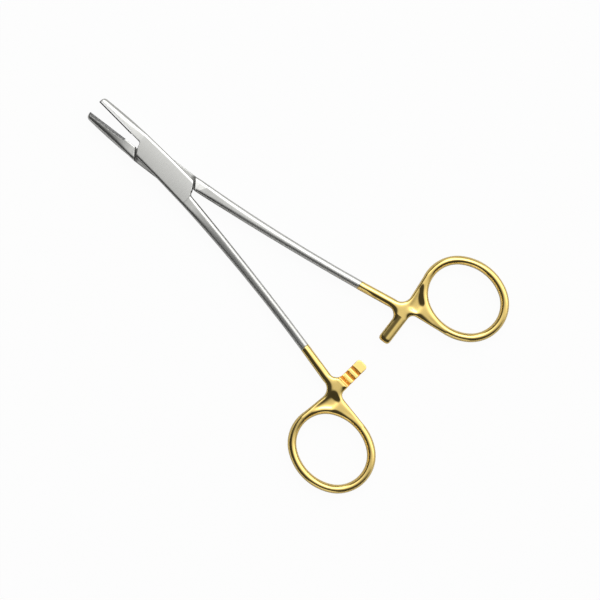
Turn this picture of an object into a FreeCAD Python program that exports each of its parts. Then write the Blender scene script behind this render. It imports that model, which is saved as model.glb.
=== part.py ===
# Surgical needle holder, 16 cm, with a box lock, a ratchet and hard-metal jaw inserts.
#
# Both halves are drawn closed, with the grip faces meeting in the plane Y = 0,
# the jaws pointing along +X and the mid-plane of the forging at Z = 0.
# The box half has its jaw on the -Y side and its ring on the +Y side.
# The tongue half is its mirror image, and its flat tongue passes through the box.
# At the end each half is turned about the pivot to the resting opening and lifted,
# so that the underside of the box lies in the plane Z = 0 with the pivot at the origin.

import FreeCAD, Part
import Sketcher
import math
import os

doc = FreeCAD.newDocument("NeedleHolder")

# Driving dimensions

DIMENSIONS = [
    # Opening
    ("rest_opening", 8.0, "angle between the grip faces as the tool lies, degrees"),
    ("full_opening", 40.0, "angle at which the tongue meets the ends of the slot, degrees"),
    # Box lock
    ("box_width", 8.75, "across both sides of the box"),
    ("box_height", 5.6, "thickness of the box"),
    ("box_length", 20.0, "length of the side of the box"),
    ("box_slant", 34.0, "slant of the box ends, degrees"),
    ("box_edge_round", 1.0, "rounding of the long edges of the box"),
    ("root_margin", 0.8, "from the foot of the slanted end to the start of the jaw"),
    ("root_overlap", 0.25, "how far the jaw and the shank reach into the box root"),
    ("blend_step", 0.05, "how much smaller a form starts than the one it grows from"),
    ("crotch_height", 1.1, "where the slanted end runs into the crotch"),
    ("crotch_round", 1.2, "radius of the crotch"),
    ("slot_length", 11.0, "length of the slot for the tongue"),
    ("tongue_height", 2.4, "thickness of the tongue"),
    ("slide_gap", 0.05, "running gap between the tongue and the box"),
    ("shoulder_gap", 0.12, "gap between the shoulders and the box ends, closed"),
    ("pin_diameter", 3.2, "pivot pin"),
    ("pin_gap", 0.03, "radial running gap of the pin in the tongue"),
    # Jaws
    ("jaw_length", 19.8, "jaw from the box root to the tip"),
    ("jaw_root_width", 4.1, "jaw width at the box"),
    ("jaw_mid_width", 3.55, "jaw width half way"),
    ("jaw_tip_width", 2.6, "jaw width at the nose"),
    ("jaw_mid_height", 4.5, "jaw height half way"),
    ("jaw_tip_height", 3.1, "jaw height at the nose"),
    ("jaw_mid_round", 1.7, "rounding of the back of the jaw half way"),
    ("jaw_tip_round", 1.35, "rounding of the back of the jaw at the nose"),
    ("jaw_nose", 1.2, "length of the rounded nose of the jaw"),
    ("grip_gap", 0.02, "each grip face stops this short of the middle plane"),
    ("insert_length", 15.4, "hard-metal insert"),
    ("insert_depth", 0.9, "thickness of the insert"),
    ("throat_relief", 0.22, "clearance of the steel behind the insert"),
    # Shanks
    ("shank_length", 79.0, "shank from the box root to the ratchet"),
    ("shank_start", 2.375, "middle of the shank at the box, from the middle plane"),
    ("shank_end", 11.05, "middle of the shank at the ratchet"),
    ("shank_bow", 0.95, "inward bow of the shank"),
    ("shank_start_width", 4.55, "shank width at the box"),
    ("shank_mid_width", 3.4, "shank width half way"),
    ("shank_end_width", 3.4, "shank width at the ratchet"),
    ("shank_height", 4.4, "shank height"),
    ("shank_round", 1.6, "rounding of the shank section"),
    # Finger rings
    ("ring_near", 2.45, "near side of the ring, behind the end of the shank"),
    ("ring_low", 2.22, "lower side of the ring, from the middle of the shank end"),
    ("ring_opening_length", 26.6, "finger opening, long way"),
    ("ring_opening_width", 22.3, "finger opening, short way"),
    ("ring_end_step", 0.85, "radius of the ends of the opening, less than half its width"),
    ("ring_band", 3.0, "width of the ring seen from above"),
    ("ring_height", 4.4, "height of the ring"),
    # Fork, where the shank runs into the ring and the ratchet bar
    ("fork_height", 4.3, "height of the fork"),
    ("fork_round", 0.9, "rounding of the long edges of the fork and the bar"),
    ("fork_radius", 3.8, "hollow corner between the shank and the ring"),
    ("fork_lean", 1.1, "foot of the outer wall, behind the near side of the ring"),
    ("fork_wall", 1.5, "width of the outer wall"),
    ("fork_slope", 6.0, "slope of the lower wall from the ring to the bar, degrees"),
    ("fork_web", 2.4, "thickness of the web between the walls"),
    ("hollow_floor", 2.2, "lower edge of the hollow, from the middle of the shank end"),
    ("hollow_length", 3.5, "length of the lower edge of the hollow"),
    ("fork_seat", 0.05, "how deep the walls of the fork reach into the ring"),
    ("shank_seat", 0.15, "how deep the fork reaches into the shank"),
    # Ratchet
    ("ratchet_back", 5.1, "middle of the ratchet bar, behind the end of the shank"),
    ("ratchet_width", 4.2, "width of the ratchet bar"),
    ("ratchet_reach", 1.7, "how far each bar passes the middle plane, closed"),
    ("ratchet_corner", 1.2, "rounding of the tip of the bar"),
    ("ratchet_bend", 3.2, "hollow corner between the bar and the shank"),
    ("ratchet_flare", 2.2, "hollow corner between the bar and the ring"),
    ("ratchet_root", 8.2, "from the middle plane to where the bar has its full height"),
    ("ratchet_gap", 0.1, "gap between the tooth tips of the two bars"),
    ("tooth_pitch", 2.5, "from tooth to tooth"),
    ("tooth_depth", 0.9, "height of a tooth"),
    ("tooth_ramp", 1.2, "length of the ramp of a tooth"),
    ("tooth_start", 1.7, "first tooth from the middle plane"),
    ("tooth_count", 3, "teeth on each bar"),
]

sheet = doc.addObject("Spreadsheet::Sheet", "Sizes")
for row, (alias, value, meaning) in enumerate(DIMENSIONS, start=1):
    sheet.set(f"A{row}", meaning)
    sheet.set(f"B{row}", str(value))
    sheet.setAlias(f"B{row}", alias)
doc.recompute()


# A size knows its number, which places the first guess of a sketch, and its
# formula in the sheet, which then drives the constraint.

class Size:
    def __init__(self, number, formula):
        self.number = float(number)
        self.formula = formula

    def __add__(self, other):
        other = as_size(other)
        return Size(self.number + other.number, f"({self.formula} + {other.formula})")

    def __sub__(self, other):
        other = as_size(other)
        return Size(self.number - other.number, f"({self.formula} - {other.formula})")

    def __mul__(self, other):
        other = as_size(other)
        return Size(self.number * other.number, f"({self.formula} * {other.formula})")

    def __truediv__(self, other):
        other = as_size(other)
        return Size(self.number / other.number, f"({self.formula} / {other.formula})")

    def __neg__(self):
        return Size(-self.number, f"(0 - {self.formula})")


def as_size(value):
    if isinstance(value, Size):
        return value
    return Size(value, f"({value:.6f})")


def size(alias):
    return Size(getattr(sheet, alias), f"Sizes.{alias}")


def sine(angle):
    return Size(math.sin(math.radians(angle.number)), f"sin({angle.formula})")


def cosine(angle):
    return Size(math.cos(math.radians(angle.number)), f"cos({angle.formula})")


def tangent(angle):
    return Size(math.tan(math.radians(angle.number)), f"tan({angle.formula})")


def root(value):
    return Size(math.sqrt(value.number), f"sqrt({value.formula})")


# Sketches and features

def new_body(label):
    body = doc.addObject("PartDesign::Body", label)
    body.Label = label
    body.AllowCompound = True
    return body


def new_sketch(body, name, plane, offset=None):
    sketch = body.newObject("Sketcher::SketchObject", name)
    support = next(item for item in body.Origin.OriginFeatures if item.Role == plane)
    sketch.AttachmentSupport = [(support, "")]
    sketch.MapMode = "FlatFace"
    if offset is not None:
        base = FreeCAD.Vector(0, 0, offset.number)
        sketch.AttachmentOffset = FreeCAD.Placement(base, FreeCAD.Rotation())
        sketch.setExpression("AttachmentOffset.Base.z", offset.formula)
    return sketch


def bind(sketch, constraint, value):
    index = sketch.addConstraint(constraint)
    sketch.setExpression(f"Constraints[{index}]", value.formula)


def draw(sketch, corners, closed=True):
    # Each corner is (x, y) or (x, y, radius): with a radius an arc leads to the
    # next corner, turning left where the radius is positive and right where not.
    points = [tuple(as_size(value) for value in corner) for corner in corners]
    ends = []
    count = len(points) if closed else len(points) - 1
    for number in range(count):
        here = points[number]
        there = points[(number + 1) % len(points)]
        start = FreeCAD.Vector(here[0].number, here[1].number, 0)
        stop = FreeCAD.Vector(there[0].number, there[1].number, 0)
        if len(here) == 2:
            edge = sketch.addGeometry(Part.LineSegment(start, stop), False)
            ends.append((edge, 1, 2))
            continue
        left = here[2].number > 0
        radius = abs(here[2].number)
        chord = stop - start
        rise = math.sqrt(max(radius ** 2 - (chord.Length / 2) ** 2, 0.0))
        across = FreeCAD.Vector(-chord.y, chord.x, 0).normalize()
        centre = (start + stop) * 0.5 + across * (rise if left else -rise)
        first, last = (start, stop) if left else (stop, start)
        angles = [math.atan2(end.y - centre.y, end.x - centre.x) for end in (first, last)]
        circle = Part.Circle(centre, FreeCAD.Vector(0, 0, 1), radius)
        edge = sketch.addGeometry(Part.ArcOfCircle(circle, angles[0], angles[1]), False)
        ends.append((edge, 1, 2) if left else (edge, 2, 1))
        value = here[2] if left else -here[2]
        bind(sketch, Sketcher.Constraint("Radius", edge, radius), value)
    for number, (edge, first, last) in enumerate(ends):
        here = points[number]
        for kind, value in (("DistanceX", here[0]), ("DistanceY", here[1])):
            bind(sketch, Sketcher.Constraint(kind, -1, 1, edge, first, value.number), value)
        if closed or number + 1 < count:
            after = ends[(number + 1) % count]
            sketch.addConstraint(Sketcher.Constraint("Coincident", edge, last, after[0], after[1]))
    if not closed:
        edge, first, last = ends[-1]
        there = points[-1]
        for kind, value in (("DistanceX", there[0]), ("DistanceY", there[1])):
            bind(sketch, Sketcher.Constraint(kind, -1, 1, edge, last, value.number), value)


def draw_circle(sketch, diameter):
    circle = Part.Circle(FreeCAD.Vector(0, 0, 0), FreeCAD.Vector(0, 0, 1), diameter.number / 2)
    edge = sketch.addGeometry(circle, False)
    sketch.addConstraint(Sketcher.Constraint("Coincident", edge, 3, -1, 1))
    bind(sketch, Sketcher.Constraint("Diameter", edge, diameter.number), diameter)


def pad(body, name, sketch, length, centred=True):
    feature = body.newObject("PartDesign::Pad", name)
    feature.Profile = sketch
    feature.Midplane = centred
    feature.setExpression("Length", length.formula)
    body.Tip = feature
    doc.recompute()
    return feature


def pocket(body, name, sketch, length):
    before = body.Shape.Volume
    feature = body.newObject("PartDesign::Pocket", name)
    feature.Profile = sketch
    feature.Midplane = True
    feature.setExpression("Length", length.formula)
    body.Tip = feature
    doc.recompute()
    if body.Shape.Volume >= before - 1e-6:
        raise RuntimeError(f"{name} cuts nothing")
    return feature


def loft(body, name, sections):
    feature = body.newObject("PartDesign::AdditiveLoft", name)
    feature.Profile = sections[0]
    feature.Sections = sections[1:]
    feature.Ruled = True
    body.Tip = feature
    doc.recompute()
    return feature


def sweep(body, name, section, path):
    feature = body.newObject("PartDesign::AdditivePipe", name)
    feature.Profile = section
    feature.Spine = (path, [f"Edge{number + 1}" for number in range(len(path.Geometry))])
    body.Tip = feature
    doc.recompute()
    return feature


def round_edges(body, name, base, keep, radius):
    shape = base.Shape
    names = [f"Edge{number}" for number, edge in enumerate(shape.Edges, start=1) if keep(edge)]
    feature = body.newObject("PartDesign::Fillet", name)
    feature.Base = (base, names)
    feature.setExpression("Radius", radius.formula)
    body.Tip = feature
    doc.recompute()
    return feature


def runs_along(corners, level):
    # Picks the top and bottom edges that lead from one corner of a plan to the next.
    places = [(as_size(x).number, as_size(y).number) for x, y in corners]

    def at(vertex, place):
        return math.hypot(vertex.X - place[0], vertex.Y - place[1]) < 1e-3

    def keep(edge):
        ends = edge.Vertexes
        if len(ends) != 2 or any(abs(abs(end.Z) - level.number) > 1e-4 for end in ends):
            return False
        if ends[0].Z * ends[1].Z < 0:
            return False
        return any((at(ends[0], first) and at(ends[1], last))
                   or (at(ends[0], last) and at(ends[1], first))
                   for first, last in zip(places, places[1:]))

    return keep


def oval_section(body, name, along, middle, width, height, radius):
    # A rectangle with four round corners, standing across the X direction.
    sketch = new_sketch(body, name, "YZ_Plane", along)
    low, high = middle - width / 2, middle + width / 2
    top = height / 2
    draw(sketch, [
        (low + radius, -top),
        (high - radius, -top, radius),
        (high, radius - top),
        (high, top - radius, radius),
        (high - radius, top),
        (low + radius, top, radius),
        (low, top - radius),
        (low, radius - top, radius),
    ])
    return sketch


def ring_section(body, name, along, middle, width, height):
    # An upright oval of twelve flats.
    sketch = new_sketch(body, name, "YZ_Plane", along)
    flat_count = 12
    spread = 2 * math.cos(math.pi / flat_count)
    corners = []
    for number in range(flat_count):
        angle = 2 * math.pi * (number + 0.5) / flat_count
        corners.append((middle + width * (math.cos(angle) / spread),
                        height * (math.sin(angle) / spread)))
    draw(sketch, corners)
    return sketch


def jaw_section(body, name, side, along, width, height, radius, sunk=0.0):
    # Flat on the grip side, round on the back. It can be sunk under the grip face.
    sketch = new_sketch(body, name, "YZ_Plane", along)
    top = height / 2
    back = -width * side
    shoulder = (radius - width) * side
    turn = radius * side
    flat = -as_size(sunk) * side
    draw(sketch, [
        (flat, top),
        (shoulder, top, turn),
        (back, top - radius),
        (back, radius - top, turn),
        (shoulder, -top),
        (flat, -top),
    ])
    return sketch


# Places that both halves share

half_width = size("box_width") / 2
half_length = size("box_length") / 2
crotch = half_length + (half_width - size("crotch_height")) * tangent(size("box_slant"))
root_end = crotch + size("root_margin")
jaw_tip = root_end + size("jaw_length")
insert_start = jaw_tip - size("insert_length")
shank_stop = root_end + size("shank_length")
ring_near = shank_stop + size("ring_near")
ring_low = size("shank_end") + size("ring_low")
ring_x = ring_near + size("ring_band") + size("ring_opening_length") / 2
ring_y = ring_low + size("ring_band") + size("ring_opening_width") / 2
bar_near = shank_stop + size("ratchet_back") - size("ratchet_width") / 2
bar_far = bar_near + size("ratchet_width")
slot_end = size("slot_length") / 2


def blend(start, middle, end, part):
    # A smooth run through three sizes: at the start, half way and at the end.
    return (start * ((1 - part) * (1 - 2 * part)) + middle * (4 * part * (1 - part))
            + end * (part * (2 * part - 1)))


def shank_middle(part):
    # The middle of the shank at a share of its length: a straight line less a bow.
    start, end, bow = size("shank_start"), size("shank_end"), size("shank_bow")
    return start + (end - start) * part - bow * (4 * part * (1 - part))


def shank_width(part):
    return blend(size("shank_start_width"), size("shank_mid_width"), size("shank_end_width"), part)


# Forms of one half: side is +1 for the box half and -1 for its mirror image

def add_jaw(body, side):
    nose_start = jaw_tip - size("jaw_nose")
    straight = nose_start - root_end
    step = size("blend_step")
    sections = [jaw_section(body, "JawRoot", side, root_end - size("root_overlap"),
                            size("jaw_root_width") - step, size("box_height") - step,
                            size("box_edge_round"), size("throat_relief") + step)]
    for number, part in enumerate((0.01, 0.25, 0.5, 0.75, 1.0), start=1):
        sections.append(jaw_section(
            body, f"JawSection{number}", side, root_end + straight * part,
            blend(size("jaw_root_width"), size("jaw_mid_width"), size("jaw_tip_width"), part),
            blend(size("box_height"), size("jaw_mid_height"), size("jaw_tip_height"), part),
            blend(size("box_edge_round"), size("jaw_mid_round"), size("jaw_tip_round"), part)))
    # The nose rounds off like the end of a finger.
    for number, (part, share) in enumerate(((0.5, 0.93), (0.85, 0.78), (1.0, 0.6))):
        sections.append(jaw_section(
            body, f"JawNose{number}", side, nose_start + size("jaw_nose") * part,
            size("jaw_tip_width") * share, size("jaw_tip_height") * share,
            size("jaw_tip_round") * share))
    loft(body, "Jaw", sections)


def add_shank(body, side):
    step = size("blend_step")
    sections = [oval_section(body, "ShankRoot", -(root_end - size("root_overlap")),
                             size("shank_start") * side, size("shank_start_width") - step,
                             size("box_height") - step, size("box_edge_round"))]
    for number, part in enumerate((0.06, 0.14, 0.26, 0.4, 0.55, 0.7, 0.85, 1.0), start=1):
        # The box's height and sharp edges fade out quickly along the shank.
        flat = (1 - part) ** 4
        crisp = (1 - part) ** 10
        height = size("shank_height") + (size("box_height") - size("shank_height")) * flat
        radius = size("shank_round") + (size("box_edge_round") - size("shank_round")) * crisp
        along = -(root_end + size("shank_length") * part)
        sections.append(oval_section(body, f"ShankSection{number}", along,
                                     shank_middle(part) * side, shank_width(part),
                                     height, radius))
    # It ends inside the fork.
    sections.append(oval_section(body, "ShankFoot", -(bar_near + size("ratchet_width") / 4),
                                 size("shank_end") * side, size("shank_end_width") * 0.6,
                                 size("fork_height") * 0.7, size("shank_round") * 0.55))
    loft(body, "Shank", sections)


def ring_oval():
    # The middle line of the ring: four arcs, tangent to one another.
    long_half = (size("ring_opening_length") + size("ring_band")) / 2
    short_half = (size("ring_opening_width") + size("ring_band")) / 2
    end_radius = short_half - size("ring_end_step")
    reach = long_half - end_radius
    spare = size("ring_end_step")
    drop = (reach * reach - spare * spare) / (spare * 2)
    side_radius = short_half + drop
    scale = side_radius / root(reach * reach + drop * drop)
    return long_half, short_half, end_radius, side_radius, reach * scale, drop * scale - drop


def add_ring(body, side):
    long_half, short_half, end_radius, side_radius, joint_x, joint_y = ring_oval()
    path = new_sketch(body, "RingPath", "XY_Plane")
    draw(path, [
        (-ring_x, (ring_y + short_half) * side, side_radius * side),
        (-ring_x - joint_x, (ring_y + joint_y) * side, end_radius * side),
        (-ring_x - joint_x, (ring_y - joint_y) * side, side_radius * side),
        (-ring_x + joint_x, (ring_y - joint_y) * side, end_radius * side),
        (-ring_x + joint_x, (ring_y + joint_y) * side, side_radius * side),
    ])
    section = ring_section(body, "RingSection", -ring_x, (ring_y + short_half) * side,
                           size("ring_band"), size("ring_height"))
    sweep(body, "Ring", section, path)


def add_fork(body, side):
    # One plan holds the outer wall, the lower wall and the ratchet bar.
    long_half, short_half, end_radius, side_radius, joint_x, joint_y = ring_oval()
    slope = (size("shank_end") - size("shank_start") + size("shank_bow") * 4) / size("shank_length")
    slant = root(slope * slope + 1)
    lean_in, lean_up = slope / slant, as_size(1) / slant
    half = size("shank_end_width") / 2 - size("shank_seat")
    # Hollow corner between the shank and the outer wall.
    radius = size("fork_radius")
    corner_x = ring_near + size("fork_lean")
    outer_x = corner_x - radius + radius * lean_in
    outer_y = size("shank_end") + half - slope * (shank_stop - outer_x)
    corner_y = outer_y + radius * lean_up
    # Hollow corner between the bar and the shank.
    bend = size("ratchet_bend")
    inner_x = bar_near - bend - bend * lean_in
    inner_y = size("shank_end") - half - slope * (shank_stop - inner_x)
    bend_y = inner_y - bend * lean_up
    # Hollow corner between the lower wall and the bar.
    flare = size("ratchet_flare")
    fall = size("fork_slope")
    ring_side = side_radius + size("ring_band") / 2
    leave_x = ring_x + ring_side * sine(fall)
    leave_y = ring_y + side_radius - short_half - ring_side * cosine(fall) + size("fork_seat")
    lower_x = bar_far + flare - flare * sine(fall)
    lower_y = leave_y - (leave_x - lower_x) * tangent(fall)
    flare_y = lower_y - flare * cosine(fall)
    tip = -size("ratchet_reach")
    round_tip = size("ratchet_corner")
    outer_run = [
        (-outer_x, outer_y * side, -radius * side),
        (-corner_x, corner_y * side),
        (-(ring_near + size("fork_seat")), ring_y * side),
    ]
    buried = [
        (long_half - ring_x, ring_y * side, -end_radius * side),
        (joint_x - ring_x, (ring_y - joint_y) * side, -side_radius * side),
        (-(ring_x + side_radius * sine(fall)),
         (ring_y + side_radius - short_half - side_radius * cosine(fall)) * side),
    ]
    lower_run = [
        (-leave_x, leave_y * side),
        (-lower_x, lower_y * side, -flare * side),
        (-bar_far, flare_y * side),
        (-bar_far, (tip + round_tip) * side, round_tip * side),
        (-(bar_far - round_tip), tip * side),
        (-(bar_near + round_tip), tip * side, round_tip * side),
        (-bar_near, (tip + round_tip) * side),
        (-bar_near, bend_y * side, -bend * side),
        (-inner_x, inner_y * side),
    ]
    plan = new_sketch(body, "ForkPlan", "XY_Plane")
    draw(plan, outer_run + buried + lower_run)
    block = pad(body, "Fork", plan, size("fork_height"))
    top = size("fork_height") / 2
    outer_edges = runs_along([corner[:2] for corner in outer_run], top)
    lower_edges = runs_along([corner[:2] for corner in lower_run], top)
    round_edges(body, "ForkEdges", block, lambda edge: outer_edges(edge) or lower_edges(edge),
                size("fork_round"))
    # A three-cornered hollow on both faces, between the ring and the walls.
    floor_y = size("shank_end") + size("hollow_floor")
    wall = size("fork_wall")
    far_x = corner_x + wall + size("hollow_length")
    hollow = new_sketch(body, "HollowPlan", "XY_Plane")
    draw(hollow, [
        (-far_x, (ring_y - long_half / 2) * side),
        (-far_x, floor_y * side),
        (-(corner_x + wall), floor_y * side),
        (-(ring_near + size("fork_seat") + wall), (ring_y - long_half / 4) * side),
    ])
    pocket(body, "Hollow", hollow, size("fork_height") * 2)
    web = new_sketch(body, "WebPlan", "XY_Plane")
    draw(web, [
        (-(ring_near + size("fork_seat") + wall / 2), (ring_y - long_half / 8) * side),
        (long_half - ring_x, ring_y * side, -end_radius * side),
        (joint_x - ring_x, (ring_y - joint_y) * side),
        (-(far_x + wall / 2), (floor_y - wall / 4) * side),
        (-(corner_x + wall / 2), (floor_y - wall / 4) * side),
    ])
    pad(body, "Web", web, size("fork_web"))


def cut_ratchet(body, side):
    # The bar keeps half of the height: the lower half on the box half, the upper on the other.
    middle = -(bar_near + bar_far) / 2
    face = size("ratchet_gap") / 2
    beyond = size("fork_height")
    low = -size("ratchet_reach") * 2
    width = size("ratchet_width") * 2
    step = new_sketch(body, "BarProfile", "YZ_Plane", middle)
    draw(step, [
        (low * side, -face * side),
        (size("ratchet_root") * side, -face * side),
        (size("ratchet_root") * side, beyond * side),
        (low * side, beyond * side),
    ])
    pocket(body, "BarFace", step, width)
    profile = new_sketch(body, "ToothProfile", "YZ_Plane", middle)
    start = size("tooth_start")
    end = start + size("tooth_ramp")
    draw(profile, [
        (start * side, -(face + size("tooth_depth")) * side),
        (end * side, -face * side),
        (end * side, face * side),
        (start * side, face * side),
    ])
    notch = pocket(body, "Tooth", profile, width)
    row = body.newObject("PartDesign::LinearPattern", "Teeth")
    row.Originals = [notch]
    row.Direction = (profile, ["H_Axis"])
    row.Reversed = side < 0
    row.setExpression("Length", "Sizes.tooth_pitch * (Sizes.tooth_count - 1)")
    row.setExpression("Occurrences", "Sizes.tooth_count")
    body.Tip = row
    doc.recompute()


def add_handle(body, side):
    add_fork(body, side)
    cut_ratchet(body, side)
    add_ring(body, side)
    add_shank(body, side)


def cut_grip_face(body, side):
    # Room for the insert, and a little relief behind it.
    plan = new_sketch(body, "GripCut", "XY_Plane")
    beyond = jaw_tip + size("jaw_nose")
    relief = size("throat_relief")
    depth = size("insert_depth")
    draw(plan, [
        (root_end, -relief * side),
        (insert_start, -relief * side),
        (insert_start, -depth * side),
        (beyond, -depth * side),
        (beyond, size("grip_gap") * side),
        (root_end, size("grip_gap") * side),
    ])
    pocket(body, "GripFace", plan, size("box_height") * 2)


def bore(body, diameter):
    circle = new_sketch(body, "BoreCircle", "XY_Plane")
    draw_circle(circle, diameter)
    pocket(body, "Bore", circle, size("box_height") * 2)


# Box half

def make_box_half():
    body = new_body("box_half")
    side = 1
    outline = new_sketch(body, "BoxOutline", "XY_Plane")
    crotch_y = size("crotch_height")
    relief = size("throat_relief")
    shank_low = size("shank_start") - size("shank_start_width") / 2
    shank_high = size("shank_start") + size("shank_start_width") / 2
    draw(outline, [
        (half_length, half_width),
        (as_size(0), half_width),
        (-root_end, shank_high),
        (-root_end, shank_low, -size("crotch_round")),
        (-crotch, -crotch_y),
        (-half_length, -half_width),
        (as_size(0), -half_width),
        (root_end, -size("jaw_root_width")),
        (root_end, -relief, -size("crotch_round")),
        (crotch, crotch_y),
    ])
    block = pad(body, "Box", outline, size("box_height"))
    top = size("box_height") / 2
    upper_run = [(half_length, half_width), (as_size(0), half_width), (-root_end, shank_high)]
    lower_run = [(-half_length, -half_width), (as_size(0), -half_width),
                 (root_end, -size("jaw_root_width"))]
    upper_edges, lower_edges = runs_along(upper_run, top), runs_along(lower_run, top)
    round_edges(body, "BoxEdges", block, lambda edge: upper_edges(edge) or lower_edges(edge),
                size("box_edge_round"))
    add_jaw(body, side)
    cut_grip_face(body, side)
    # The slot for the tongue leaves the roots of the jaw and of the shank standing.
    slot = new_sketch(body, "SlotPlan", "XY_Plane")
    wall = slot_end + size("slide_gap")
    draw(slot, [
        (wall, as_size(0)),
        (root_end * 2, as_size(0)),
        (root_end * 2, half_width * 2),
        (-wall, half_width * 2),
        (-wall, as_size(0)),
        (-root_end * 2, as_size(0)),
        (-root_end * 2, -half_width * 2),
        (wall, -half_width * 2),
    ])
    pocket(body, "Slot", slot, size("tongue_height") + size("slide_gap") * 2)
    bore(body, size("pin_diameter"))
    add_handle(body, side)
    return body


# Tongue half

def make_tongue_half():
    body = new_body("tongue_half")
    side = -1
    angle = size("full_opening")
    gap = size("slide_gap")
    radius = slot_end - gap
    arc_x = radius * cosine(angle)
    arc_y = radius * sine(angle)
    flat_x = arc_x - (half_width - arc_y) * tangent(angle)
    shank_low = size("shank_start") - size("shank_start_width") / 2
    shank_high = size("shank_start") + size("shank_start_width") / 2
    relief = size("throat_relief")
    tongue = new_sketch(body, "TonguePlan", "XY_Plane")
    draw(tongue, [
        (radius, relief, -radius),
        (arc_x, -arc_y),
        (flat_x, -half_width),
        (-half_length, -half_width),
        (-root_end, -shank_high),
        (-root_end, -relief),
        (-radius, -relief, -radius),
        (-arc_x, arc_y),
        (-flat_x, half_width),
        (half_length, half_width),
        (root_end, size("jaw_root_width")),
        (root_end, relief),
    ])
    pad(body, "Tongue", tongue, size("tongue_height"))
    # Full-height shoulders stand just clear of the slanted ends of the box.
    lean = size("shoulder_gap") / cosine(size("box_slant"))
    front = new_sketch(body, "FrontShoulder", "XY_Plane")
    foot = crotch + lean
    draw(front, [
        (half_length + lean, half_width),
        (foot, size("crotch_height")),
        (root_end, relief),
        (root_end, size("jaw_root_width")),
    ])
    pad(body, "FrontBlock", front, size("box_height"))
    back = new_sketch(body, "BackShoulder", "XY_Plane")
    draw(back, [
        (-half_length - lean, -half_width),
        (-foot, -size("crotch_height")),
        (-root_end, -shank_low),
        (-root_end, -shank_high),
    ])
    blocks = pad(body, "BackBlock", back, size("box_height"))
    top = size("box_height") / 2
    front_edges = runs_along([(half_length + lean, half_width),
                              (root_end, size("jaw_root_width"))], top)
    back_edges = runs_along([(-half_length - lean, -half_width), (-root_end, -shank_high)], top)
    round_edges(body, "BlockEdges", blocks, lambda edge: front_edges(edge) or back_edges(edge),
                size("box_edge_round"))
    add_jaw(body, side)
    cut_grip_face(body, side)
    bore(body, size("pin_diameter") + size("pin_gap") * 2)
    add_handle(body, side)
    return body


# Inserts and pin

def make_insert(label, side):
    body = new_body(label)
    add_jaw(body, side)
    # Everything goes but the slab between the grip face and the seat in the jaw.
    plan = new_sketch(body, "InsertCut", "XY_Plane")
    low = root_end * 0.5
    high = jaw_tip * 2
    wide = size("jaw_root_width") * 2
    seat = size("insert_depth")
    face = size("grip_gap")
    draw(plan, [
        (low, -wide * side),
        (high, -wide * side),
        (high, -seat * side),
        (insert_start, -seat * side),
        (insert_start, -face * side),
        (high, -face * side),
        (high, wide * side),
        (low, wide * side),
    ])
    pocket(body, "InsertSlab", plan, size("box_height") * 2)
    return body


def make_pin():
    body = new_body("pivot_pin")
    circle = new_sketch(body, "PinCircle", "XY_Plane")
    draw_circle(circle, size("pin_diameter"))
    pad(body, "Pin", circle, size("box_height"))
    return body


def place(body, sense):
    # Turn to the resting opening and lift the underside of the box to Z = 0.
    axis = FreeCAD.Vector(0, 0, 1)
    angle = sense * size("rest_opening").number / 2
    lift = size("box_height").number / 2
    body.Placement = FreeCAD.Placement(FreeCAD.Vector(0, 0, lift), FreeCAD.Rotation(axis, angle))
    body.setExpression("Placement.Base.z", "Sizes.box_height / 2")
    if sense:
        turn = "Sizes.rest_opening / 2" if sense > 0 else "0 - Sizes.rest_opening / 2"
        body.setExpression("Placement.Rotation.Angle", turn)


pieces = [
    (make_box_half(), -1),
    (make_tongue_half(), 1),
    (make_insert("box_jaw_insert", 1), -1),
    (make_insert("tongue_jaw_insert", -1), 1),
    (make_pin(), 0),
]
for piece, sense in pieces:
    place(piece, sense)
doc.recompute()

# Checks and export

for item in doc.Objects:
    if "Invalid" in item.State or "Error" in item.State:
        raise RuntimeError(f"{item.Label} failed: {item.State}")

os.makedirs("parts", exist_ok=True)
for piece, sense in pieces:
    shape = piece.Shape
    if shape.isNull() or not shape.isValid() or len(shape.Solids) != 1:
        raise RuntimeError(f"{piece.Label}: {len(shape.Solids)} solids, valid {shape.isValid()}")
    box = shape.BoundBox
    print(f"{piece.Label}: volume {shape.Volume:.1f}, x {box.XMin:.2f} to {box.XMax:.2f}, "
          f"y {box.YMin:.2f} to {box.YMax:.2f}, z {box.ZMin:.2f} to {box.ZMax:.2f}")
    shape.exportStep(f"parts/{piece.Label}.step")
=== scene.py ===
# %% [markdown]
# A needle holder is a surgeon's gripping tool: two steel halves that cross in a box
# lock, hard-metal plates soldered into the jaws, a ratchet, and finger rings.
# On this one the rings and the ratchet are gilt and the rest is satin steel.
# The solid model is already right in shape and size. What is left for this lesson is
# what a solid modeller doesn't give: soft polished blends, a serrated grip, and finish.

import bmesh
import bpy
import math
from mathutils import Matrix, Vector


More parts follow.
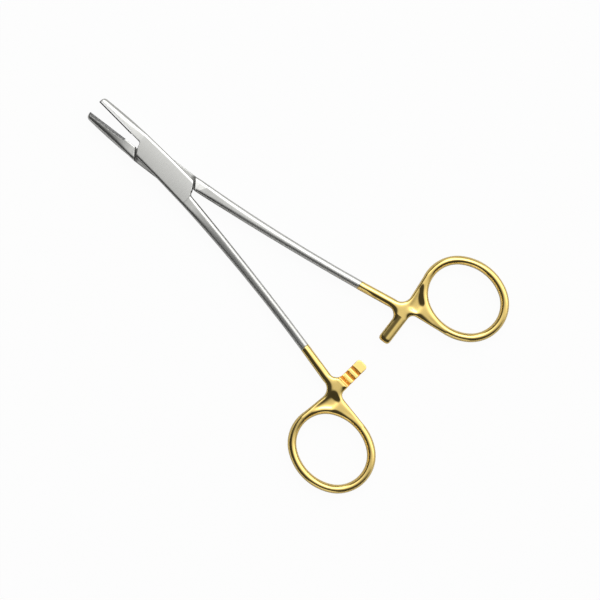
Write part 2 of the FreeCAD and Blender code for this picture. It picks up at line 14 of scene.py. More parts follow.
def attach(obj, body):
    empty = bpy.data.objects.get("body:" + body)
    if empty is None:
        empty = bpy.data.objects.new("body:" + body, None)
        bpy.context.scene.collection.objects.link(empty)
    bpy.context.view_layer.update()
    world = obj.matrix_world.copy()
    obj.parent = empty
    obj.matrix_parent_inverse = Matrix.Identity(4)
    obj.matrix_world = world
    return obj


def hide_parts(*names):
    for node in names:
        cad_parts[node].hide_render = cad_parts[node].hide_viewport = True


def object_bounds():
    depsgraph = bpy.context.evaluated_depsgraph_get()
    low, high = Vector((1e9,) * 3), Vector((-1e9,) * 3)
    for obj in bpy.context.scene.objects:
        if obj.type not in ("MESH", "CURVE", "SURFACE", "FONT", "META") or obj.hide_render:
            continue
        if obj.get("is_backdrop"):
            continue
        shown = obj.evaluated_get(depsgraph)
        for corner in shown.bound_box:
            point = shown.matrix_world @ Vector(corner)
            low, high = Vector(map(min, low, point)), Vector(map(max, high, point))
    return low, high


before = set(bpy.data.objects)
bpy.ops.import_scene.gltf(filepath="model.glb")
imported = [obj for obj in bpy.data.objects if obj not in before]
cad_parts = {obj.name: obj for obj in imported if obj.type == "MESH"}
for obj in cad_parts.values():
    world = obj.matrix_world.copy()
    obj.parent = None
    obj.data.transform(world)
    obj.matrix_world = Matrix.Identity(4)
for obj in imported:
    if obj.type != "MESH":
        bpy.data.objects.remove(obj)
solid_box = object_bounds()
print("solids:", sorted(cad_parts))

# %% [markdown]
# The tool lies with its grip faces eight degrees apart, so each half is turned four
# degrees away from its closed place. It is easier to think about a half when it is
# closed: there the grip face is a straight plane and the halves mirror each other.
# So every piece is worked out closed and turned into place at the end.

# %% Sizes and the turn of each half
MM = 0.001
REST_HALF_ANGLE = math.radians(4.0)
PLATING_LINE = -78.7 * MM
MID_HEIGHT = 2.8 * MM

# side is +1 for the box half, whose ring lies towards +Y, and -1 for the tongue half.
HALVES = {"box_half": 1, "tongue_half": -1}
BODY = {"box_half": "box_side", "tongue_half": "tongue_side"}


def resting(side):
    return Matrix.Rotation(-side * REST_HALF_ANGLE, 4, "Z")


print("turn of a half:", round(math.degrees(REST_HALF_ANGLE), 1), "degrees")

# %% [markdown]
# Both halves are copied from their solids, because their shape is exactly right.
# The copy is welded, since an exported mesh is split along every face of the solid,
# and turned closed. A plane then cuts it at the plating line: what lies behind is gilt,
# what lies in front is steel. Each cut is closed with a cap, so the parts stay solid.

# %% Copy a half and cut it at the plating line
WELD = 0.5e-6


def mesh_of(node, side):
    made = bmesh.new()
    made.from_mesh(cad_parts[node].data)
    bmesh.ops.remove_doubles(made, verts=made.verts, dist=WELD)
    made.transform(resting(side).inverted())
    return made


def cut_off(made, behind):
    flat = made.verts[:] + made.edges[:] + made.faces[:]
    cut = bmesh.ops.bisect_plane(
        made, geom=flat, dist=1e-7, plane_co=(PLATING_LINE, 0, 0), plane_no=(1, 0, 0),
        clear_outer=behind, clear_inner=not behind)
    rim = [item for item in cut["geom_cut"] if isinstance(item, bmesh.types.BMEdge)]
    bmesh.ops.holes_fill(made, edges=rim)


def new_piece(name, made, side, node):
    mesh = bpy.data.meshes.new(name)
    made.transform(resting(side))
    made.to_mesh(mesh)
    made.free()
    piece = bpy.data.objects.new(name, mesh)
    bpy.context.scene.collection.objects.link(piece)
    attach(piece, BODY[node])
    return piece


for node in HALVES:
    print(node, "has", len(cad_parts[node].data.polygons), "faces to start with")

# %% [markdown]
# An exported solid has long thin triangles, which make blotches on a polished curve. A
# remesh covers the same form in even little squares. A few rounds of smoothing then
# take the last sharpness off the edges, as tumbling does to a real forging.
# Not every place may move alike, so each point gets a share between nought and one.

# %% Even squares and melted creases
def ease(value, start, end):
    part = min(1.0, max(0.0, (value - start) / (end - start)))
    return part * part * (3 - 2 * part)


def baked(piece):
    layer = bpy.context.evaluated_depsgraph_get()
    mesh = bpy.data.meshes.new_from_object(piece.evaluated_get(layer))
    piece.modifiers.clear()
    old, piece.data = piece.data, mesh
    bpy.data.meshes.remove(old)
    mesh.name = piece.name


def even_squares(piece, size):
    remesh = piece.modifiers.new("Even squares", "REMESH")
    remesh.mode = "VOXEL"
    remesh.voxel_size = size
    baked(piece)


def melt(piece, side, rounds, weight):
    group = piece.vertex_groups.new(name="melt")
    closed = resting(side).inverted()
    for vertex in piece.data.vertices:
        spot = closed @ vertex.co
        share = weight(spot.x, spot.y * side, spot.z - MID_HEIGHT)
        group.add([vertex.index], share, "REPLACE")
    smooth = piece.modifiers.new("Melted creases", "SMOOTH")
    smooth.factor = 0.5
    smooth.iterations = rounds
    smooth.vertex_group = "melt"
    baked(piece)
    piece.vertex_groups.clear()
    piece.data.shade_smooth()


print("share of the melting, half way along a ramp:", ease(0.5, 0, 1))

# %% [markdown]
# The steel part is melted only a little. Nothing may move at the plating line, because
# there the steel has to meet the gilt part, nor at the seat of the grip plate.
# The pivot pin is hammered tight into its bore and ground over, so that no edge is left
# to see. Two plugs in the cheeks of the box fill the bore around the pin's ends.

# %% The steel part of each half
STEEL_SQUARE = 0.16 * MM
STEEL_ROUNDS = 8
PLUG_RADIUS = 1.8 * MM
PLUG_HEIGHTS = ((0.01, 1.5), (4.1, 5.59))
LINE_RAMP = 1.5 * MM
SEAT_FROM, SEAT_DEPTH = 16 * MM, 1.6 * MM


def close_bore(made):
    for low, high in PLUG_HEIGHTS:
        bmesh.ops.create_cone(
            made, cap_ends=True, segments=48, radius1=PLUG_RADIUS, radius2=PLUG_RADIUS,
            depth=(high - low) * MM, matrix=Matrix.Translation((0, 0, (high + low) / 2 * MM)))


def steel_melts(along, across, up):
    # The seat of the grip plate stays crisp, so that the plate closes it without a seam.
    in_seat = along > SEAT_FROM and abs(across) < SEAT_DEPTH
    return 0.0 if in_seat else ease(along, PLATING_LINE, PLATING_LINE + LINE_RAMP)


steel_parts = {}
for node, side in HALVES.items():
    made = mesh_of(node, side)
    cut_off(made, behind=False)
    if node == "box_half":
        close_bore(made)
    piece = new_piece(node.replace("half", "steel"), made, side, node)
    even_squares(piece, STEEL_SQUARE)
    melt(piece, side, STEEL_ROUNDS, steel_melts)
    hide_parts(node)
    steel_parts[node] = piece
    print(piece.name, len(piece.data.polygons), "faces")

# %% [markdown]
# A forged and polished handle has no creases: the ring flows into the fork, and the fork
# into the shank. So here the melting goes much further, but not everywhere alike: fully
# on the ring and the fork and little on the ratchet teeth. In the fork a first pass
# leaves out the side walls, so the hollow turns into a soft valley while the outline
# stays as it was forged. A filler laid into the hollow first makes that valley shallow,
# as a grinding wheel would.

# %% The gilt part of each half
GILT_SQUARE = 0.17 * MM
GILT_ROUNDS, FORK_ROUNDS = 30, 150
PLATING = 0.03 * MM
TEETH_TO = 8.6 * MM
FORK_FROM, FORK_TO = -89.5 * MM, -104.0 * MM
# Corners of the filler, seen from above: along the half and outwards from its middle.
FILLER = [(-95.5, 23.6), (-97.2, 24.0), (-98.6, 21.6), (-100.4, 19.0),
          (-101.3, 15.5), (-101.2, 12.7), (-96.5, 12.7)]
FILLER_HALF_HEIGHT = 1.6


def fill_hollow(made, side):
    rings = [[made.verts.new((x * MM, side * y * MM, MID_HEIGHT + z * MM)) for x, y in FILLER]
             for z in (-FILLER_HALF_HEIGHT, FILLER_HALF_HEIGHT)]
    walls = [made.faces.new(ring) for ring in rings]
    for i in range(len(FILLER)):
        j = (i + 1) % len(FILLER)
        walls.append(made.faces.new((rings[0][i], rings[0][j], rings[1][j], rings[1][i])))
    bmesh.ops.recalc_face_normals(made, faces=walls)


def gilt_melts(along, across, up):
    near_line = ease(along, PLATING_LINE, PLATING_LINE - LINE_RAMP)
    on_bar = ease(across, TEETH_TO + 1.2 * MM, TEETH_TO)
    return near_line * (1 - 0.9 * on_bar)


def fork_sinks(along, across, up, side):
    behind_shank = ease(along, FORK_FROM + 4 * MM, FORK_FROM)
    before_ring = ease(along, FORK_TO - 3 * MM, FORK_TO + 3 * MM)
    off_bar = ease(across, TEETH_TO - 0.4 * MM, TEETH_TO + 1.6 * MM)
    # The tongue half has its teeth underneath, so its bar can be crowned on top.
    bar_top = 0.5 * ease(up, 0.8 * MM, 1.2 * MM) if side < 0 else 0.0
    off_walls = ease(abs(up), 1.0 * MM, 1.4 * MM)
    return behind_shank * before_ring * max(off_bar, bar_top) * off_walls


gilt_parts = {}
for node, side in HALVES.items():
    made = mesh_of(node, side)
    cut_off(made, behind=True)
    fill_hollow(made, side)
    piece = new_piece(node.replace("half", "gilt"), made, side, node)
    even_squares(piece, GILT_SQUARE)
    melt(piece, side, FORK_ROUNDS,
         lambda along, across, up: fork_sinks(along, across, up, side))
    melt(piece, side, GILT_ROUNDS, gilt_melts)
    plating = piece.modifiers.new("Plating", "DISPLACE")
    plating.strength = PLATING
    plating.mid_level = 0.0
    baked(piece)
    piece.data.shade_smooth()
    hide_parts(node)
    gilt_parts[node] = piece
    print(piece.name, len(piece.data.polygons), "faces")

# %% [markdown]
# The grip plates are of a very hard sintered metal. Their faces are cut crosswise into
# small pyramids that hold a needle without crushing it. The face is a fine grid of
# points, and each point is pushed in by its distance from the nearest pyramid's top.
# The plate's outline follows the jaw: high at the back, low and rounded at the nose.

# %% The serrated grip plates
# Sizes in millimetres, measured along the closed half.
PLATE = {"back": 17.41, "nose": 32.81, "depth": 1.1, "gap": 0.02}
JAW_START, NOSE_LENGTH = 13.009, 1.2
HIGH_AT_ROOT, HIGH_AT_MIDDLE, HIGH_AT_TIP = 5.6, 4.5, 3.1
# The nose gets lower in three steps: from, to, share of the height from, share to.
NOSE_STEPS = ((0.0, 0.5, 1.0, 0.93), (0.5, 0.85, 0.93, 0.78), (0.85, 1.0, 0.78, 0.6))
PITCH = 0.48
GROOVE = 0.13
EDGE_SUNK = 0.03
UNDER_JAW = 0.005


def jaw_height(along):
    straight = PLATE["nose"] - NOSE_LENGTH - JAW_START
    part = min(1.0, (along - JAW_START) / straight)
    height = HIGH_AT_ROOT * (1 - part) * (1 - 2 * part)
    height += HIGH_AT_MIDDLE * 4 * part * (1 - part) + HIGH_AT_TIP * part * (2 * part - 1)
    past = max(0.0, (along - (PLATE["nose"] - NOSE_LENGTH)) / NOSE_LENGTH)
    for start, end, from_share, to_share in NOSE_STEPS:
        if start < past <= end:
            height *= from_share + (to_share - from_share) * (past - start) / (end - start)
    return height


def groove(along, up):
    def ridge(value):
        return 2 * abs(value - math.floor(value + 0.5))
    return GROOVE * max(ridge((along + up) / PITCH), ridge((along - up) / PITCH))


def grip_plate(name, node, half):
    side = HALVES[half]
    made = bmesh.new()
    columns = round((PLATE["nose"] - PLATE["back"]) / (PITCH / 4))
    rows = round(5.4 / (PITCH / 4))
    face = []
    for i in range(columns + 1):
        along = PLATE["back"] + (PLATE["nose"] - PLATE["back"]) * i / columns
        high = jaw_height(along) / 2 - UNDER_JAW
        line = []
        for j in range(rows + 1):
            up = high * (2 * j / rows - 1)
            at_edge = j in (0, rows) or i in (0, columns)
            cut = EDGE_SUNK if at_edge else groove(along, (j - rows / 2) * PITCH / 4)
            sunk = PLATE["gap"] + cut
            line.append(made.verts.new((along * MM, -side * sunk * MM, MID_HEIGHT + up * MM)))
        face.append(line)
    back = [[made.verts.new((v.co.x, -side * (PLATE["depth"] - 0.01) * MM, v.co.z))
             for v in (line[0], line[-1])] for line in face]
    for i in range(columns):
        for j in range(rows):
            made.faces.new((face[i][j], face[i + 1][j], face[i + 1][j + 1], face[i][j + 1]))
        for j, k in ((0, 0), (rows, 1)):
            made.faces.new((face[i][j], face[i + 1][j], back[i + 1][k], back[i][k]))
        made.faces.new((back[i][0], back[i + 1][0], back[i + 1][1], back[i][1]))
    for i in (0, columns):
        made.faces.new([*face[i], back[i][1], back[i][0]])
    bmesh.ops.recalc_face_normals(made, faces=made.faces)
    piece = new_piece(name, made, side, half)
    piece.data.shade_flat()
    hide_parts(node)
    print(name, len(piece.data.polygons), "faces")
    return piece


grip_plates = [
    grip_plate("box_grip_plate", "box_jaw_insert", "box_half"),
    grip_plate("tongue_grip_plate", "tongue_jaw_insert", "tongue_half"),
]

# %% [markdown]
# Three finishes are needed. Each is built from the metal's own colour, so that it looks
# right under other light too, and gets its grain from noise. Only the shade in the lock of
# the steel, the deep orange of the ratchet notches and the dark edge of the box half's grip
# plate are painted shade and a painted reflection, which won't follow other light. On the
# steel and the gilt the noise is drawn out along the strokes of the belt or the wheel.
# First come the helpers: one adds a node and joins it up, one turns places on a half into
# its closed frame, one makes the grain.

# %% Helpers for the finishes
def add(tree, kind, inputs=(), **settings):
    node = tree.nodes.new("ShaderNode" + kind)
    for key, value in settings.items():
        setattr(node, key, value)
    for key, value in dict(inputs).items():
        if isinstance(value, bpy.types.NodeSocket):
            tree.links.new(value, node.inputs[key])
        else:
            node.inputs[key].default_value = value
    return node


def closed_place(tree, turn):
    where = add(tree, "TexCoord").outputs["Object"]
    return add(tree, "Mapping", {"Vector": where, "Rotation": (0, 0, turn)}).outputs[0]


def grain(tree, turn, stretch, scale, detail=3.0):
    drawn = add(tree, "Mapping", {"Vector": closed_place(tree, turn), "Scale": stretch})
    noise = add(tree, "TexNoise", {"Vector": drawn.outputs[0], "Scale": scale, "Detail": detail})
    return noise.outputs["Fac"]


def finish(name, colour, roughness):
    material = bpy.data.materials.new(name)
    material.use_nodes = True
    tree = material.node_tree
    shader = tree.nodes["Principled BSDF"]
    shader.inputs["Base Color"].default_value = (*colour, 1)
    shader.inputs["Roughness"].default_value = roughness
    shader.inputs["Metallic"].default_value = 1.0
    return material, tree, shader


print("helpers:", [tool.__name__ for tool in (add, closed_place, grain, finish)])

# %% [markdown]
# Satin steel is ground with a fine belt across its length. The strokes are so fine that
# they show mostly as a silky blur. So the roughness and a very shallow bump both come
# from noise drawn out across the half. A face ground by hand on a belt is also never
# quite flat, and its slope decides which side of the room it mirrors. How these faces
# slope isn't known. A slight crown on the box and leans of two to ten degrees on the
# jaws, one facet and one shank were tried until the light lay as in the photograph. They
# are in the finish alone, as a height map and on the round shank as a lean, and the mesh
# doesn't have them.
# The faces inside the lock are rougher, because no belt reaches them, and their colour is
# darkened as painted shade, most in the gap at the shoulders. Their mask is a plain box
# around the lock, so it roughens and shades a band of the outer flanks as well.

# %% Satin steel
STEEL = (0.62, 0.62, 0.605)
STROKE_DARK, STROKE_LIGHT = (0.585, 0.585, 0.57, 1), (0.66, 0.66, 0.645, 1)
# Painted shade for the faces in and around the lock.
LOCK_PAINTED_SHADE = (0.16, 0.16, 0.155, 1)
CROWN_RADIUS = 110 * MM
# The lean of each jaw, box half first and tongue half second.
JAW_LEAN = {1: math.tan(math.radians(2)), -1: math.tan(math.radians(9))}
SHANK_TILT = 0.18
FACET_LEAN = math.tan(math.radians(6))
FACET_CORNER = (-15.6 * MM, -3.4 * MM)
FACET_WAY = (0.84, -0.54)
FACET_LENGTH = 5 * MM
LOCK_HALF_HEIGHT, LOCK_HALF_LENGTH = 1.5 * MM, 12.3 * MM


def calc(tree, operation, first, second=0.0):
    return add(tree, "Math", {0: first, 1: second}, operation=operation).outputs[0]


def ground_slopes(tree, turn, side):
    split = add(tree, "SeparateXYZ", {0: closed_place(tree, turn)})
    along, across = split.outputs["X"], split.outputs["Y"]
    on_box = add(tree, "MapRange", {"Value": along, "From Min": -17 * MM, "From Max": -12 * MM})
    dome = calc(tree, "MULTIPLY", calc(tree, "MULTIPLY", across, across),
                -0.5 / CROWN_RADIUS)
    dome = calc(tree, "MULTIPLY", dome, on_box.outputs[0])
    on_jaw = add(tree, "MapRange", {"Value": along, "From Min": 11 * MM, "From Max": 22 * MM,
                                    "To Max": -JAW_LEAN[side]}, interpolation_type="SMOOTHSTEP")
    lean = calc(tree, "MULTIPLY", calc(tree, "ABSOLUTE", across), on_jaw.outputs[0])
    height = calc(tree, "ADD", dome, lean)
    if side < 0:
        # A facet that leans towards the box, behind the shoulder of the tongue half.
        over_x = calc(tree, "SUBTRACT", along, FACET_CORNER[0])
        over_y = calc(tree, "SUBTRACT", across, FACET_CORNER[1])
        over = calc(tree, "ADD", calc(tree, "MULTIPLY", over_x, FACET_WAY[0]),
                    calc(tree, "MULTIPLY", over_y, FACET_WAY[1]))
        facet = add(tree, "MapRange", {"Value": over, "From Min": 0.0,
                                       "From Max": FACET_LENGTH,
                                       "To Max": -FACET_LENGTH * FACET_LEAN})
        height = calc(tree, "ADD", height, facet.outputs[0])
    # In the lock: near the middle height. The colour there is painted shade, darkest in the
    # gap at the shoulders.
    # Nothing bounds it across the half, so the outer flanks are in it too.
    from_middle = calc(tree, "ABSOLUTE", calc(tree, "SUBTRACT", split.outputs["Z"], MID_HEIGHT))
    low = calc(tree, "LESS_THAN", from_middle, LOCK_HALF_HEIGHT)
    from_pin = calc(tree, "ABSOLUTE", along)
    depth = add(tree, "MapRange", {"Value": from_pin, "From Min": 8.6 * MM,
                                   "From Max": 9.8 * MM, "To Min": 0.4})
    near = calc(tree, "LESS_THAN", from_pin, LOCK_HALF_LENGTH)
    lock_dull_and_shade = calc(tree, "MULTIPLY", calc(tree, "MULTIPLY", low, near), depth.outputs[0])
    return height, lock_dull_and_shade


def tilted(tree, normal, turn, first, last, amount):
    # Leans the surface towards +Y of the closed half, between two slopes of the raw one.
    # That way is given for the tool at rest, and doesn't turn with a half that opens.
    far_side = (math.sin(turn), math.cos(turn), 0)
    raw = add(tree, "NewGeometry").outputs["Normal"]
    slope = add(tree, "VectorMath", {0: raw, 1: far_side}, operation="DOT_PRODUCT")
    starts = add(tree, "MapRange", {"Value": slope.outputs["Value"], "From Min": first,
                                    "From Max": first + 0.08}, interpolation_type="SMOOTHSTEP")
    stops = add(tree, "MapRange", {"Value": slope.outputs["Value"], "From Min": last,
                                   "From Max": last + 0.2, "To Min": 1.0, "To Max": 0.0},
                interpolation_type="SMOOTHSTEP")
    share = calc(tree, "MULTIPLY", starts.outputs[0], stops.outputs[0])
    push = add(tree, "VectorMath", {0: far_side, "Scale": calc(tree, "MULTIPLY", share, amount)},
               operation="SCALE")
    leaned = add(tree, "VectorMath", {0: normal, 1: push.outputs[0]}, operation="ADD")
    return add(tree, "VectorMath", {0: leaned.outputs[0]}, operation="NORMALIZE").outputs[0]


def satin_steel(name, side):
    material, tree, shader = finish(name, STEEL, 0.3)
    turn = side * REST_HALF_ANGLE
    strokes = grain(tree, turn, (1, 0.045, 0.2), 5200)
    patches = grain(tree, turn, (1, 1, 1), 160, 2)
    tint = add(tree, "MixRGB", {"Fac": strokes, "Color1": STROKE_DARK,
                                "Color2": STROKE_LIGHT})
    height, lock_dull_and_shade = ground_slopes(tree, turn, side)
    # Painted shade: the colour is mixed towards the dark grey in the lock, most at the
    # shoulders.
    lock_shaded_tint = add(tree, "MixRGB", {"Fac": lock_dull_and_shade, "Color1": tint.outputs[0],
                                  "Color2": LOCK_PAINTED_SHADE})
    tree.links.new(lock_shaded_tint.outputs[0], shader.inputs["Base Color"])
    rough = add(tree, "MapRange", {"Value": calc(tree, "ADD", strokes, patches),
                                   "From Min": 0.6, "From Max": 1.4,
                                   "To Min": 0.23, "To Max": 0.3})
    split = add(tree, "SeparateXYZ", {0: add(tree, "TexCoord").outputs["Object"]})
    on_shank = add(tree, "MapRange", {"Value": split.outputs["X"], "From Min": -16 * MM,
                                      "From Max": -30 * MM}).outputs[0]
    rougher = calc(tree, "ADD", rough.outputs[0], calc(tree, "MULTIPLY", lock_dull_and_shade, 0.25))
    rougher = calc(tree, "ADD", rougher, calc(tree, "MULTIPLY", on_shank, 0.12))
    tree.links.new(rougher, shader.inputs["Roughness"])
    slopes = add(tree, "Bump", {"Height": height, "Strength": 1.0, "Distance": 1.0})
    bump = add(tree, "Bump", {"Height": strokes, "Strength": 0.03, "Distance": 0.01 * MM,
                              "Normal": slopes.outputs[0]})
    ground = bump.outputs[0]
    if side > 0:
        # The shank of the box half gets an outward lean behind the lock.
        ground = tilted(tree, ground, turn, -0.5, 0.05,
                        calc(tree, "MULTIPLY", on_shank, SHANK_TILT))
    tree.links.new(ground, shader.inputs["Normal"])
    return material


for node, side in HALVES.items():
    piece = steel_parts[node]
    piece.data.materials.clear()
    piece.data.materials.append(satin_steel("Satin steel " + node.split("_")[0], side))

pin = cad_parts["pivot_pin"]
pin.material_slots[0].material = steel_parts["box_half"].data.materials[0]
print("satin steel on", [piece.name for piece in steel_parts.values()], "and", pin.name)

# %% [markdown]
# Gilding is a thin bright layer on a surface that was polished to a mirror first. What
# shows is almost only reflection, tinted warm. A little unevenness keeps it from looking
# like glass: faint polishing hairlines and a slow ripple that bends the reflections.
# The buffing wheel never reaches into the notches of the ratchet, so they stay matte. Their
# deep orange colour is a painted reflection of the gilt walls around them, while the lands
# between them shine. The bars, the shanks and the fork get leans of seven to thirteen
# degrees, as on the steel in the finish alone.

# %% Gilt
GOLD = (0.93, 0.69, 0.24)
# Deeper orange for the notches: a painted reflection of the gilt walls around them.
NOTCH_REFLECTION_GOLD = (0.85, 0.46, 0.1)
BAR_LEAN = {1: math.tan(math.radians(7)), -1: math.tan(math.radians(12))}
BAR_FROM, BAR_TO = -2 * MM, 9 * MM
BAR_MIDDLE, BAR_RIDGE = -97.1 * MM, 0.3 * MM
NOTCH_TOP, NOTCH_FLOOR, NOTCHES_TO = -0.14 * MM, -1.2 * MM, 8.2 * MM
GILT_TILT = 0.23
TILT_FROM, TILT_FULL = -107 * MM, -101 * MM


def gilt(name, side):
    material, tree, shader = finish(name, GOLD, 0.08)
    turn = side * REST_HALF_ANGLE
    split = add(tree, "SeparateXYZ", {0: closed_place(tree, turn)})
    across = calc(tree, "MULTIPLY", split.outputs["Y"], side)
    up = calc(tree, "MULTIPLY", calc(tree, "SUBTRACT", split.outputs["Z"], MID_HEIGHT), side)
    bar = add(tree, "MapRange", {"Value": across, "From Min": BAR_FROM, "From Max": BAR_TO,
                                 "To Max": (BAR_TO - BAR_FROM) * BAR_LEAN[side]})
    in_notch = calc(tree, "MULTIPLY", calc(tree, "LESS_THAN", up, NOTCH_TOP),
                    calc(tree, "GREATER_THAN", up, NOTCH_FLOOR))
    in_notch = calc(tree, "MULTIPLY", in_notch, calc(tree, "LESS_THAN", across, NOTCHES_TO))
    # The notches get the painted reflection colour, besides more roughness.
    tint = add(tree, "MixRGB", {"Fac": in_notch, "Color1": (*GOLD, 1),
                                "Color2": (*NOTCH_REFLECTION_GOLD, 1)})
    tree.links.new(tint.outputs[0], shader.inputs["Base Color"])
    ripple = grain(tree, turn, (1, 1, 1), 260, 1)
    hairlines = grain(tree, turn, (0.06, 1, 1), 5200)
    rough = add(tree, "MapRange", {"Value": hairlines, "From Min": 0.3, "From Max": 0.7,
                                   "To Min": 0.05, "To Max": 0.12})
    rougher = calc(tree, "ADD", rough.outputs[0], calc(tree, "MULTIPLY", in_notch, 0.5))
    tree.links.new(rougher, shader.inputs["Roughness"])
    leaning = add(tree, "Bump", {"Height": bar.outputs[0], "Strength": 1.0, "Distance": 1.0})
    ground = leaning.outputs[0]
    if side < 0:
        # The bar of the tongue half gets a ridge along its middle and leans in front of it.
        plain = add(tree, "NewGeometry").outputs["Normal"]
        front_half = add(tree, "MapRange", {"Value": split.outputs["X"],
                                            "From Min": BAR_MIDDLE - BAR_RIDGE,
                                            "From Max": BAR_MIDDLE + BAR_RIDGE})
        ground = add(tree, "MixRGB", {"Fac": front_half.outputs[0], "Color1": plain,
                                      "Color2": ground}).outputs[0]
    # The shank and the fork get a lean, which fades out on the near part of the ring.
    before_ring = add(tree, "MapRange", {"Value": split.outputs["X"], "From Min": TILT_FROM,
                                         "From Max": TILT_FULL, "To Max": GILT_TILT})
    rounder = tilted(tree, ground, turn, 0.0, 0.3, before_ring.outputs[0])
    soft = add(tree, "Bump", {"Height": ripple, "Strength": 0.15, "Distance": 0.05 * MM,
                              "Normal": rounder})
    tree.links.new(soft.outputs[0], shader.inputs["Normal"])
    return material


for node, side in HALVES.items():
    piece = gilt_parts[node]
    piece.data.materials.clear()
    piece.data.materials.append(gilt("Gilt " + node.split("_")[0], side))
print("gilt on", [piece.name for piece in gilt_parts.values()])

# %% [markdown]
# Sintered hard metal is darker than steel and never takes a mirror polish: its grains
# scatter the light. On the box half the plate was ground flush together with the jaw, and
# a narrow near-black edge along its grip face is painted shade of the gap between the
# jaws. On the tongue half the side of the plate still carries the crossing strokes of the
# wheel that cut the grooves.

# %% Hard metal
SINTERED = (0.2, 0.2, 0.21)
# Width of the near-black painted shade along the grip face of the box half's plate.
GAP_SHADE_EDGE = 0.45 * MM
HATCH_PITCH, HATCH_DEPTH = 0.62 * MM, 0.02 * MM


def wave(tree, value, pitch):
    return calc(tree, "SINE", calc(tree, "MULTIPLY", value, 2 * math.pi / pitch))


def hard_metal(name, side):
    material, tree, shader = finish(name, SINTERED, 0.42)
    turn = side * REST_HALF_ANGLE
    split = add(tree, "SeparateXYZ", {0: closed_place(tree, turn)})
    along, across = split.outputs["X"], split.outputs["Y"]
    speckle = grain(tree, turn, (1, 1, 1), 9000, 2)
    if side > 0:
        # Near the grip face the plate is near-black: painted shade of the gap between the jaws.
        depth = calc(tree, "ABSOLUTE", across)
        gap_shade = calc(tree, "LESS_THAN", depth, GAP_SHADE_EDGE)
        lit = add(tree, "MapRange", {"Value": gap_shade, "To Min": 0.62, "To Max": 0.02})
        shade = calc(tree, "MULTIPLY", lit.outputs[0],
                     calc(tree, "ADD", calc(tree, "MULTIPLY", speckle, 0.3), 0.85))
        height = calc(tree, "MULTIPLY", depth, -JAW_LEAN[side])
    else:
        slant = wave(tree, calc(tree, "ADD", along, across), HATCH_PITCH)
        cross = wave(tree, calc(tree, "SUBTRACT", along, across), HATCH_PITCH)
        crossed = calc(tree, "ADD", slant, cross)
        lit = add(tree, "MapRange", {"Value": crossed, "From Min": -1.6, "From Max": 1.6,
                                     "To Min": 0.08, "To Max": 0.34})
        shade = calc(tree, "MULTIPLY", lit.outputs[0],
                     calc(tree, "ADD", calc(tree, "MULTIPLY", speckle, 0.6), 0.7))
        height = calc(tree, "MULTIPLY", crossed, HATCH_DEPTH)
    colour = add(tree, "CombineColor", {0: shade, 1: shade, 2: shade})
    tree.links.new(colour.outputs[0], shader.inputs["Base Color"])
    cut = add(tree, "Bump", {"Height": height, "Strength": 1.0, "Distance": 1.0})
    bump = add(tree, "Bump", {"Height": speckle, "Strength": 0.25, "Distance": 0.02 * MM,
                              "Normal": cut.outputs[0]})
    tree.links.new(bump.outputs[0], shader.inputs["Normal"])
    return material


for plate, side in zip(grip_plates, HALVES.values()):
    plate.data.materials.clear()
    plate.data.materials.append(hard_metal("Hard metal " + plate.name.split("_")[0], side))
print("hard metal on", [plate.name for plate in grip_plates])

# %% [markdown]
# The tool is seen from straight above, with its jaws to the upper left. The camera looks
# down from far away through a long lens, so that the rings at the edge of the picture
# aren't seen from the side.

# %% Camera
SEEN_WIDTH = 210 * MM
AIM = Vector((-65.7 * MM, 3.2 * MM, MID_HEIGHT))
RIGHT = Vector((-0.7501, -0.6613, 0)).normalized()
UP = Vector((0.6613, -0.7501, 0)).normalized()

lens = bpy.data.cameras.new("Camera")
lens.lens = 135
lens.sensor_width = 36
lens.clip_end = 10
camera = bpy.data.objects.new("Camera", lens)
bpy.context.scene.collection.objects.link(camera)
distance = SEEN_WIDTH * lens.lens / lens.sensor_width
toward = RIGHT.cross(UP)
camera.matrix_world = Matrix((
    (RIGHT.x, UP.x, toward.x, AIM.x + toward.x * distance),
    (RIGHT.y, UP.y, toward.y, AIM.y + toward.y * distance),
    (RIGHT.z, UP.z, toward.z, AIM.z + toward.z * distance),
    (0, 0, 0, 1)))
bpy.context.scene.camera = camera
print("camera", round(distance, 3), "m above the tool")

# %% [markdown]
# Polished metal shows the room, so the room matters more than the lamps. It is a pale
# tent: brightest at the top of the picture, darker straight above where the camera looks
# in, and with a dark side at the bottom that draws the dark bands along the handles. A
# dark doorway on the left gives the rings a second thin dark line.
# The background itself is white, because a camera ray sees plain white.

# %% The room
world = bpy.data.worlds.new("Pale room")
bpy.context.scene.world = world
world.use_nodes = True
tree = world.node_tree
tree.nodes.clear()
look = add(tree, "TexCoord").outputs["Generated"]
key = (RIGHT * 0.3 + UP * 0.95).normalized()
towards_key = add(tree, "VectorMath", {0: look, 1: key}, operation="DOT_PRODUCT")
share = add(tree, "MapRange", {"Value": towards_key.outputs["Value"], "From Min": -1,
                               "From Max": 1})
ramp = add(tree, "ValToRGB", {"Fac": share.outputs[0]})
# From the bottom of the picture, 0, past straight above, 0.5, to the top, 1: place, light.
STRIPS = [
    (0.00, 0.90), (0.02, 0.90), (0.035, 0.05), (0.28, 0.06), (0.39, 0.28), (0.46, 0.62),
    (0.50, 0.78), (0.56, 1.00), (0.62, 1.30), (0.68, 1.70), (0.90, 1.80), (0.96, 1.40),
    (0.99, 0.45),
]
stops = ramp.color_ramp.elements
for number, (place, light) in enumerate(STRIPS):
    stop = stops[number] if number < 2 else stops.new(place)
    stop.position = place
    stop.color = (light, light, light * 0.985, 1)

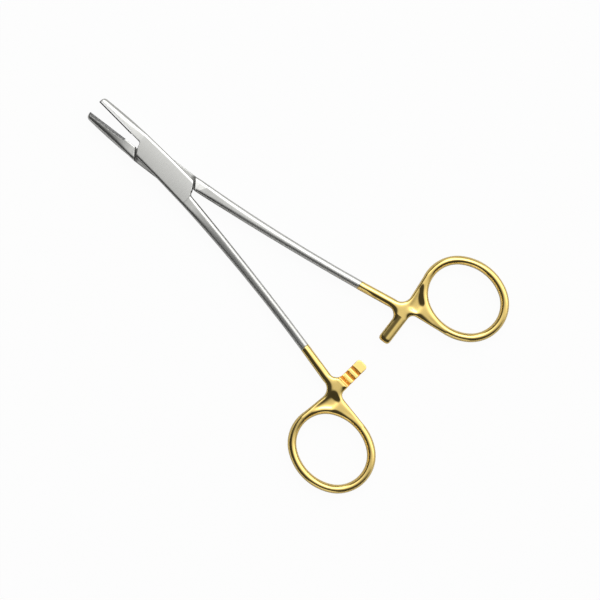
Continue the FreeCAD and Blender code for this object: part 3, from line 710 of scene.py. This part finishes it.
doorway = (UP * 0.5 - RIGHT * 0.85).normalized()
towards_door = add(tree, "VectorMath", {0: look, 1: doorway}, operation="DOT_PRODUCT")
dark = add(tree, "MapRange", {"Value": towards_door.outputs["Value"], "From Min": 0.66,
                              "From Max": 0.80, "To Min": 1.0, "To Max": 0.1})
room = add(tree, "Background", {"Color": ramp.outputs[0], "Strength": dark.outputs[0]})
white = add(tree, "Background", {"Color": (1, 1, 1, 1), "Strength": 1.0})
ray = add(tree, "LightPath").outputs["Is Camera Ray"]
seen = add(tree, "MixShader", {0: ray, 1: room.outputs[0], 2: white.outputs[0]})
add(tree, "OutputWorld", {"Surface": seen.outputs[0]})
print("room with", len(STRIPS), "steps of light")

# %% [markdown]
# One large soft lamp hangs above the tool, and the table is matt paper. To the camera the
# paper is nearly all glow, so that it comes out white. What is left of it is lit by the
# lamp and the room. That part takes the tool's shadow, of which only a trace can be seen.

# %% Soft lamp and floor
GLOW = 0.96

lamp_data = bpy.data.lights.new("Soft lamp", "AREA")
lamp_data.shape = "RECTANGLE"
lamp_data.size, lamp_data.size_y = 0.5, 0.35
lamp_data.energy = 1.2
lamp = bpy.data.objects.new("Soft lamp", lamp_data)
bpy.context.scene.collection.objects.link(lamp)
lamp.location = AIM + key * 0.45 + Vector((0, 0, 0.6))
lamp.rotation_euler = (AIM - lamp.location).to_track_quat("-Z", "Y").to_euler()

made = bmesh.new()
bmesh.ops.create_grid(made, x_segments=2, y_segments=2, size=1.5)
floor_mesh = bpy.data.meshes.new("Floor")
made.to_mesh(floor_mesh)
made.free()
floor = bpy.data.objects.new("Floor", floor_mesh)
bpy.context.scene.collection.objects.link(floor)
floor.location = (AIM.x, AIM.y, -0.02 * MM)
floor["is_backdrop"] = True

paper = bpy.data.materials.new("White paper")
paper.use_nodes = True
tree = paper.node_tree
shader = tree.nodes["Principled BSDF"]
shader.inputs["Base Color"].default_value = (0.6, 0.6, 0.6, 1)
shader.inputs["Roughness"].default_value = 0.9
shader.inputs["Specular IOR Level"].default_value = 0.0
glow = add(tree, "Emission", {"Color": (1, 1, 1, 1), "Strength": 1.0})
ray = add(tree, "LightPath").outputs["Is Camera Ray"]
part = add(tree, "Math", {0: ray, 1: GLOW}, operation="MULTIPLY")
both = add(tree, "MixShader", {0: part.outputs[0], 1: shader.outputs[0], 2: glow.outputs[0]})
tree.links.new(both.outputs[0], tree.nodes["Material Output"].inputs["Surface"])
floor.data.materials.append(paper)
bpy.context.scene.view_settings.view_transform = "Standard"
print("floor and lamp in place")

# %% [markdown]
# The box around the shown pieces is measured and printed beside the box around the
# solids. They differ by less than the plating.

# %% Measure and finish
shown_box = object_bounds()
for label, (low, high) in (("solids", solid_box), ("shown", shown_box)):
    print(label, [round((b - a) / MM, 2) for a, b in zip(low, high)], "mm")
